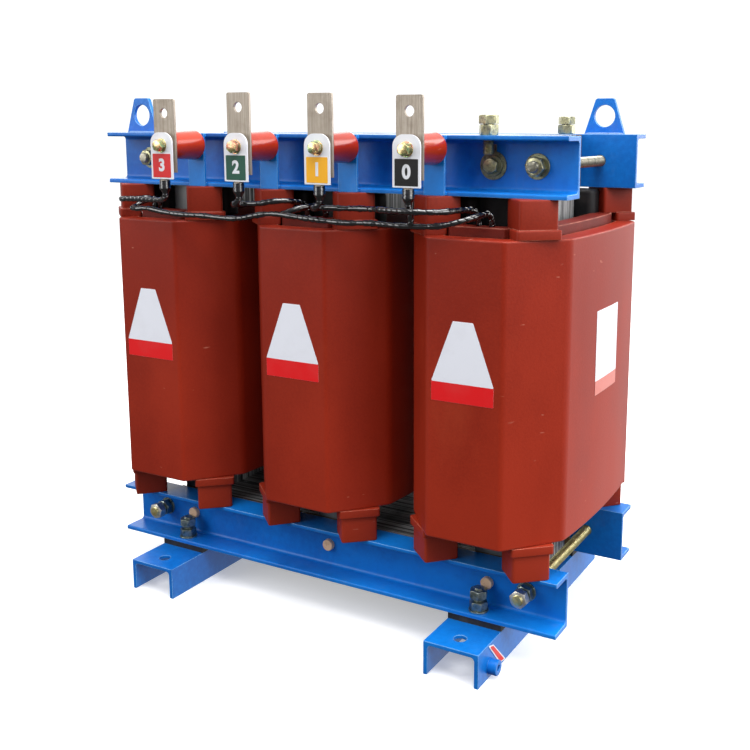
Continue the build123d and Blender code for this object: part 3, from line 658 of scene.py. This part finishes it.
lowerRods = {"thread": (0.020, 0.0025), "across": 0.030, "nut": 0.016, "gap": 0.006,
             "washer": (0.037, 0.003), "x": 0.426}
parts = []
tip = float(boxOf("lower_tie_rods")[1][1]) - coreY
for x in (-lowerRods["x"], lowerRods["x"]):
    parts.append((aim(threaded(*lowerRods["thread"], -tip, tip), (0, 1, 0), (x, coreY, lowerMid)), goldRod))
    for side in (-1, 1):
        at, plate = (x, coreY + side * webY, lowerMid), lowerRods["washer"][1]
        second = plate + lowerRods["nut"] + lowerRods["gap"]
        parts += [(aim(disc(lowerRods["washer"][0], 0, plate), (0, side, 0), at), nutZinc),
                  (aim(hexagon(lowerRods["across"], plate, plate + lowerRods["nut"]), (0, side, 0), at,
                       spins[16 + side + int(x > 0) * 3]), nutZinc),
                  (aim(hexagon(lowerRods["across"], second, second + lowerRods["nut"]), (0, side, 0), at,
                       spins[24 + side + int(x > 0) * 3]), paleNut)]
addPiece("lower_rod_threads", parts, ["lower_tie_rods"], weld=True)

baseBolts = {"thread": (0.020, 0.0025), "across": 0.030, "nut": 0.016, "gap": 0.006,
             "washer": (0.037, 0.003), "head": 0.013, "x": 0.3445, "y": 0.190, "plate": 0.084}
parts = []
low, high = [float(p[2]) for p in boxOf("base_bolts")]
for x in (-baseBolts["x"], baseBolts["x"]):
    for side in (-1, 1):
        at, plate = (x, coreY + side * baseBolts["y"], 0.0), baseBolts["plate"]
        first = plate + baseBolts["washer"][1]
        second = first + baseBolts["nut"] + baseBolts["gap"]
        turn = spins[32 + side + int(x > 0) * 3]
        parts += [(aim(threaded(*baseBolts["thread"], low + 0.001, high), (0, 0, 1), at), nutZinc),
                  (aim(disc(baseBolts["washer"][0], plate, first), (0, 0, 1), at), nutZinc),
                  (aim(hexagon(baseBolts["across"], first, first + baseBolts["nut"]), (0, 0, 1), at, turn),
                   nutZinc),
                  (aim(hexagon(baseBolts["across"], second, second + baseBolts["nut"]), (0, 0, 1), at,
                       turn + 0.7), nutZinc),
                  (aim(hexagon(baseBolts["across"], low, low + baseBolts["head"]), (0, 0, 1), at, turn),
                   nutZinc)]
addPiece("base_bolt_stacks", parts, ["base_bolts"], weld=True)

pressingBolts = {"thread": (0.020, 0.0025), "across": 0.030, "head": 0.015, "rise": 0.034, "y": 0.183}
parts = []
low = float(boxOf("pressing_bolts")[0][2])
phaseX = float(middleOf("hv_coil_right")[0])
for side in (-1, 1):
    at = (phaseX, coreY + side * pressingBolts["y"], 0.0)
    high = topZ + pressingBolts["rise"]
    headFoot = high - pressingBolts["head"]
    parts += [(aim(hexagon(pressingBolts["across"], headFoot, high, False), (0, 0, 1), at, spins[41 + side]),
               greyZinc),
              (aim(threaded(*pressingBolts["thread"], low, headFoot + 0.001), (0, 0, 1), at), greyZinc),
              (aim(hexagon(pressingBolts["across"], topZ, headFoot - 0.0008), (0, 0, 1), at,
                   spins[44 + side]), greyZinc)]
addPiece("pressing_bolt_stacks", parts, ["pressing_bolts"], weld=True)

earthBolt = {"across": 0.024, "head": 0.012, "washer": (0.036, 0.003), "disc": 0.0025,
             "shank": 0.0085, "sunk": 0.0083, "turn": 0.4}
at, plate = (phaseX, coreY - webY - earthBolt["disc"], upperMid), earthBolt["washer"][1]
addPiece("earth_bolt_head", [
    (aim(disc(earthBolt["washer"][0], 0, plate), (0, -1, 0), at), oliveDisc),
    (aim(hexagon(earthBolt["across"], plate, plate + earthBolt["head"], False), (0, -1, 0), at,
         earthBolt["turn"]), greyZinc),
    (aim(turned([(earthBolt["shank"], -earthBolt["sunk"]), (earthBolt["shank"], 0.0004)], 24), (0, -1, 0),
         at), nutZinc)],
    ["earth_bolt"])
print("fasteners are made")


# Resin blocks

blocks = {"reach": (0.1105, 0.22275), "turn": 42.0, "foot": (0.078, 0.0425, 0.016), "lip": 0.005,
          "body": (0.068, 0.064), "corner": 0.005, "edge": 0.0022}
for name in ("left", "middle", "right"):
    coilLow, coilHigh = boxOf(f"hv_coil_{name}")
    x = (coilLow[0] + coilHigh[0]) / 2
    for level in ("top", "bottom"):
        stack = []
        low, high = [float(p[2]) for p in boxOf(f"{level}_blocks_{name}")]
        footWidth, footDepth, footHigh = blocks["foot"]
        footSpan = (low, low + footHigh) if level == "top" else (high - footHigh, high)
        bodySpan = (low + footHigh, high) if level == "top" else (low, high - footHigh)
        footEdges = (0.0004, blocks["edge"]) if level == "top" else (blocks["edge"], 0.0004)
        bodyEdges = (0.0002, blocks["edge"]) if level == "top" else (blocks["edge"], 0.0002)
        foot = roundedBar(footWidth, footDepth, *footSpan, blocks["corner"], footEdges,
                          blocks["lip"] - footDepth / 2)
        body = roundedBar(*blocks["body"], *bodySpan, blocks["corner"], bodyEdges, -blocks["body"][1] / 2)
        for sx, sy in ((-1, -1), (1, -1), (-1, 1), (1, 1)):
            turn = -sx * blocks["turn"] if sy > 0 else 180 + sx * blocks["turn"]
            at = (x + sx * blocks["reach"][0], coreY + sy * blocks["reach"][1], 0.0)
            stack += [(aim(foot, (0, 0, 1), at, math.radians(turn)), blockResin),
                      (aim(body, (0, 0, 1), at, math.radians(turn)), blockResin)]
        addPiece(f"{level}_blocks_{name}_cast", stack, [f"{level}_blocks_{name}"], 50.0)
print("blocks are made")


# Labels and tags, left blank but for plain numbers

labels = {"high": 0.632, "seam": 0.5255, "low": 0.492, "top": (-0.0205, 0.017), "foot": (-0.061, 0.056),
          "thick": 0.0004}
for name in ("left", "middle", "right"):
    low, high = boxOf(f"hv_coil_{name}")
    x, y = (low[0] + high[0]) / 2, float(low[1])
    t0, t1, f0, f1 = x + labels["top"][0], x + labels["top"][1], x + labels["foot"][0], x + labels["foot"][1]
    white = badge([(f0, labels["seam"]), (f1, labels["seam"]), (t1, labels["high"]), (t0, labels["high"])],
                  labels["thick"])
    red = badge([(f0, labels["low"]), (f1, labels["low"]), (f1, labels["seam"]), (f0, labels["seam"])],
                labels["thick"])
    addPiece(f"front_label_{name}", [(towardsFront(white, y), labelWhite), (towardsFront(red, y), labelRed)],
             (), 12.0)

sideLabel = {"y": (-0.057, 0.058), "high": 0.630, "seam": 0.502, "low": 0.476, "thick": 0.0004,
             "bulge": 1.8057}
lowX = float(boxOf("hv_coil_right")[1][0])


def bowedPlate(low, high):
    # Strip on the bowed side: x falls away from the middle as a circle of the bulge's radius does along y
    y = np.linspace(*sideLabel["y"], 25)[:, None]
    x = lowX - (sideLabel["bulge"] - np.sqrt(sideLabel["bulge"] ** 2 - y ** 2))
    out, z = np.array([[0, 1, 1, 0]]) * sideLabel["thick"], np.array([[low, low, high, high]])
    return skin(np.stack([x + out, y + coreY + 0 * z, z + 0 * y], axis=-1)[:, ::-1])


addPiece("side_label", [(bowedPlate(sideLabel["seam"], sideLabel["high"]), labelWhite),
                        (bowedPlate(sideLabel["low"], sideLabel["seam"]), labelPale)])

tags = {"square": 0.044, "size": 0.031, "bold": 0.0012, "numbers": "3210"}
tagSpan = boxOf("terminal_tags")


def numberShape(text, x, y, z):  # built-in lettering turned to a mesh, standing on the square's face
    data = bpy.data.curves.new("number", "FONT")
    data.body, data.size, data.align_x, data.align_y = text, tags["size"], "CENTER", "CENTER"
    data.extrude, data.offset = 0.00015, tags["bold"]
    holder = bpy.data.objects.new("number", data)
    scene.collection.objects.link(holder)
    mesh = bpy.data.meshes.new_from_object(holder)
    points = np.empty(len(mesh.vertices) * 3)
    mesh.vertices.foreach_get("co", points)
    faces = [list(p.vertices) for p in mesh.polygons]
    bpy.data.objects.remove(holder)
    bpy.data.meshes.remove(mesh)
    shape = towardsFront((points.reshape(-1, 3), faces), y)
    return shape[0] + np.array([x, 0, z]), shape[1]


parts = []
for spot, text, colour in zip(terminals, tags["numbers"], tagColours):
    low = float(tagSpan[0][2]) + 0.0028
    half = tags["square"] / 2
    square = badge([(spot[0] - half, low), (spot[0] + half, low), (spot[0] + half, low + tags["square"]),
                    (spot[0] - half, low + tags["square"])], 0.0003)
    y = float(tagSpan[0][1])
    parts += [(towardsFront(square, y), colour),
              (numberShape(text, spot[0], y - 0.0003, low + half), tagWhite)]
addPiece("tag_squares", parts, (), 12.0)
print("labels and tags are made")


# Leads: black tape wound round each conductor

leadRoutes = {  # millimetres from the core's middle, heights from the underside of the upper clamps
    "lead_1": [(-262.5, -304.5, -0.3), (-262.5, -304.5, -12), (-269, -301, -20), (-290, -293, -24),
               (-340, -283, -24), (-388, -275, -26), (-409, -272, -27), (-418, -263, -27.5),
               (-418, -251, -28), (-409, -240, -28), (-397, -227, -27), (-387, -215, -26),
               (-383, -207, -34), (-383, -207, -48.7)],
    "lead_2": [(-87.5, -304.5, -0.3), (-87.5, -304.5, -11), (-94, -303, -20), (-105, -299, -24),
               (-111, -290, -25), (-111, -279, -25), (-103, -271, -25), (-89, -270, -24.5),
               (-66, -273, -23), (-52, -274, -20), (-29, -268, -17), (-14, -255, -17), (-8, -237, -20),
               (-7, -217, -25), (-6, -207, -34), (-6, -207, -48.7)],
    "lead_3": [(87.5, -304.5, -0.3), (87.5, -304.5, -11), (81, -303, -20), (70, -299, -24),
               (64, -290, -25), (64, -279, -25), (72, -271, -25), (86, -270, -24.5), (112, -274, -24),
               (150, -282, -22), (190, -293, -21), (226, -308, -20), (262, -317, -20),
               (292, -309, -20.5), (312, -293, -21), (327, -274, -20), (337, -253, -19),
               (342, -232, -20), (344, -217, -25), (344, -207, -34), (344, -207, -48.7)],
    "neutral_link": [(-368, -207, -48.7), (-368, -207, -34), (-370, -217, -26), (-376, -233, -29),
                     (-384, -248, -36), (-387, -262, -42), (-380, -273, -44), (-366, -278, -44.5),
                     (-334, -281, -41), (-290, -284, -47), (-240, -286, -50), (-190, -285, -49),
                     (-141, -285, -52), (-100, -286, -51), (-62, -284, -42), (-24, -282, -38),
                     (28, -285, -43), (83, -287, -46), (130, -287, -48), (175, -286, -45),
                     (222, -288, -47), (268, -287, -47), (308, -284, -45), (333, -276, -39),
                     (351, -261, -33), (361, -245, -29), (366, -231, -27), (367, -217, -26),
                     (368, -207, -34), (368, -207, -48.7)],
    "neutral_drop": [(262.5, -304.5, -0.3), (262.5, -304.5, -11.5), (261, -295, -26), (258, -288, -47)],
    "neutral_strand": [(-12, -282.7, -39), (8, -276, -32), (22, -262, -27), (31, -245, -25),
                       (34, -229, -24.5), (34, -217, -26), (34, -207, -34), (34, -207, -48.7)]}
tape = {"radius": 0.0046, "lap": 0.0008, "pitch": 0.0125, "lump": 0.08}


def nurbsPoints(points):  # the route's smooth line, read from a curve with those control points
    data = bpy.data.curves.new("route", "CURVE")
    data.dimensions = "3D"
    spline = data.splines.new("NURBS")
    spline.points.add(len(points) - 1)
    placed = np.array([(x / 1000, y / 1000 + coreY, z / 1000 + underZ, 1.0) for x, y, z in points])
    spline.points.foreach_set("co", placed.ravel())
    spline.order_u = 3
    spline.use_endpoint_u = True
    spline.resolution_u = 10
    holder = bpy.data.objects.new("route", data)
    scene.collection.objects.link(holder)
    mesh = bpy.data.meshes.new_from_object(holder)
    line = np.empty(len(mesh.vertices) * 3)
    mesh.vertices.foreach_get("co", line)
    bpy.data.objects.remove(holder)
    bpy.data.meshes.remove(mesh)
    return line.reshape(-1, 3)


def lumpy(seed):  # slow swelling along the tape, as a sum of three sines of the distance run
    beats = np.random.default_rng(seed).uniform((60, 150, 320), (110, 260, 520))
    starts = np.random.default_rng(seed + 1).uniform(0, 6, 3)

    def swell(run, length):
        return 1 + tape["lump"] * sum(w * np.sin(run * b + a)
                                      for w, b, a in zip((1, 0.7, 0.4), beats, starts))
    return swell


lap = [(0.0, 0.0), (0.06, 1.0), (0.36, 0.75), (0.7, 0.45), (0.94, 0.2)]
lap = [(phase, tape["radius"] + rise * tape["lap"]) for phase, rise in lap]
wound = {name: helical(nurbsPoints(points), tape["pitch"], lap, 20, lumpy(seed))
         for seed, (name, points) in enumerate(leadRoutes.items(), start=11)}
for name in ("lead_1", "lead_2", "lead_3"):
    addPiece(f"{name}_tape", [(wound[name], leadTape)], [name], 50.0, True)
addPiece("neutral_link_tape",
         [(wound[name], leadTape) for name in ("neutral_link", "neutral_drop", "neutral_strand")],
         ["neutral_link"], 50.0, True)

barrelWrap = {"radius": 0.0096, "neck": 0.0056, "high": 0.0165, "low": -0.013, "y": -0.3045,
              "start": 0.004, "ramp": 0.010}
parts = []
for seed, spot in enumerate(terminals, start=31):
    x, y = float(spot[0]), barrelWrap["y"] + coreY
    line = np.array([[x, y, underZ + z] for z in np.linspace(barrelWrap["low"], barrelWrap["high"], 12)])

    def wrapSwell(run, length):  # from the neck on the lead to the full width over the barrel
        share = np.clip((run - barrelWrap["start"]) / barrelWrap["ramp"], 0, 1)
        share = share * share * (3 - 2 * share)
        return (barrelWrap["neck"]
                + (barrelWrap["radius"] - barrelWrap["neck"]) * share) / barrelWrap["radius"]
    edge = [(p, barrelWrap["radius"] - tape["radius"] + r) for p, r in lap]
    parts.append((helical(line, 0.006, edge, 24, wrapSwell), leadTape))
addPiece("lug_wraps", parts, (), 50.0, True)

# Dull black blocks in the gap between each inner coil and the clamp, beside the limb: painted shade that
# fills the gap where it lies in shadow
shadeBlock = {"wide": 0.086, "deep": 0.046, "high": -0.003, "low": -0.060, "corner": 0.014,
         "rims": (0.004, 0.008)}
shadeBlocks = {"left": [(-0.075, -0.150), (0.078, -0.150), (0.036, 0.150)],
          "middle": [(-0.075, -0.150), (0.078, -0.150), (0.036, 0.150)],
          "right": [(-0.075, -0.150), (0.036, 0.150)]}
bar = roundedBar(shadeBlock["wide"], shadeBlock["deep"], underZ + shadeBlock["low"], underZ + shadeBlock["high"],
                 shadeBlock["corner"], shadeBlock["rims"])
parts = [(aim(bar, (0, 0, 1), (float(middleOf(f"hv_coil_{name}")[0]) + x, coreY + y, 0)), shadeBlack)
         for name, places in shadeBlocks.items() for x, y in places]
addPiece("painted_shade_blocks", parts, (), 50.0)
print("leads are wound")


# Weld beads

welds = {"radius": 0.0032, "ripple": 0.0035, "strip": 0.0022, "apart": 0.020, "sunk": 0.0005, "run": 0.0075}


def bead(start, end, radius):
    # A round bead along a line: a rectified sine of the distance ripples its radius, and its ends draw in
    start, end = np.array(start, float), np.array(end, float)
    length = np.linalg.norm(end - start)
    share = np.linspace(0, 1, max(12, int(length / welds["ripple"] * 5)))
    line = start + share[:, None] * (end - start)
    first, second, run = framesOn(line)
    size = radius * (0.86 + 0.2 * np.abs(np.sin(run * math.pi / welds["ripple"])))
    size = size * np.sqrt(np.clip(1 - (2 * share - 1) ** 12, 0.02, 1))
    angle = np.arange(12) / 12 * 2 * math.pi
    rings = line[:, None] + size[:, None, None] * (np.cos(angle)[None, :, None] * first[:, None]
                                                   + np.sin(angle)[None, :, None] * second[:, None])
    return skin(rings)


parts = []
for name in ("lifting_lug_front_left", "lifting_lug_back_right"):
    low, high = boxOf(name)
    for y in (low[1], high[1]):
        parts.append((bead((low[0] + 0.001, y, topZ), (high[0] - 0.001, y, topZ), welds["radius"]),
                      litWeldBlue))
strips = boxOf("bushing_strips")
for spot in terminals:
    for z, step in ((float(strips[0][2]), 1), (float(strips[1][2]), -1)):
        for side in (-1, 1):
            x = float(spot[0]) + side * welds["apart"]
            y = float(strips[1][1]) - welds["sunk"]
            parts.append((bead((x, y, z + step * welds["sunk"]), (x, y, z + step * welds["run"]),
                               welds["strip"]), litStripPaint))
addPiece("weld_beads", parts)
print("welds are laid")


# Tapped earthing boss and the blank strip tag that lies over the base channel beside it

boss = {"rim": 0.002, "bore": 0.0055, "deep": 0.012}
low, high = boxOf("earth_boss")
reach, span = (high[2] - low[2]) / 2, high[0] - low[0]
quarter = np.linspace(0, math.pi / 2, 6)
profile = [(reach, 0)] + [(reach - boss["rim"] * (1 - math.cos(q)), span - boss["rim"] * (1 - math.sin(q)))
                          for q in quarter]
profile += [(boss["bore"] + 0.001, span), (boss["bore"], span - 0.001), (boss["bore"], span - boss["deep"])]
addPiece("earth_boss_tapped",
         [(aim(turned(profile), (1, 0, 0), (low[0], *((low + high) / 2)[1:])), framePaint)],
         ["earth_boss"])

stripTag = {"corners": [(-0.2635, 0.0625), (-0.2145, 0.0067), (-0.1876, 0.0015), (-0.2422, 0.0555)],
            "red": ((0.17, 0.83), (0.06, 0.95)), "thick": 0.0006, "off": 0.0006}


def stripPlate(across, along, thick, x):  # shares of the tag's width and length, blended between its corners
    a, b, c, d = np.array(stripTag["corners"]) + np.array([coreY, 0])
    flat = [(1 - s) * ((1 - t) * a + t * b) + s * ((1 - t) * d + t * c)
            for s, t in ((across[0], along[0]), (across[0], along[1]), (across[1], along[1]),
                         (across[1], along[0]))]
    points, faces = badge(flat, thick, 0.0012)
    return np.column_stack([points[:, 2] + x, points[:, 0], points[:, 1]]), faces


x = float(boxOf("base_channel_right")[1][0]) + stripTag["off"]
addPiece("earth_tag", [(stripPlate((0, 1), (0, 1), stripTag["thick"], x), labelWhite),
                       (stripPlate(*stripTag["red"], 0.0003, x + stripTag["thick"]), labelRed)],
         (), 12.0)
print("earthing boss and tag are made")
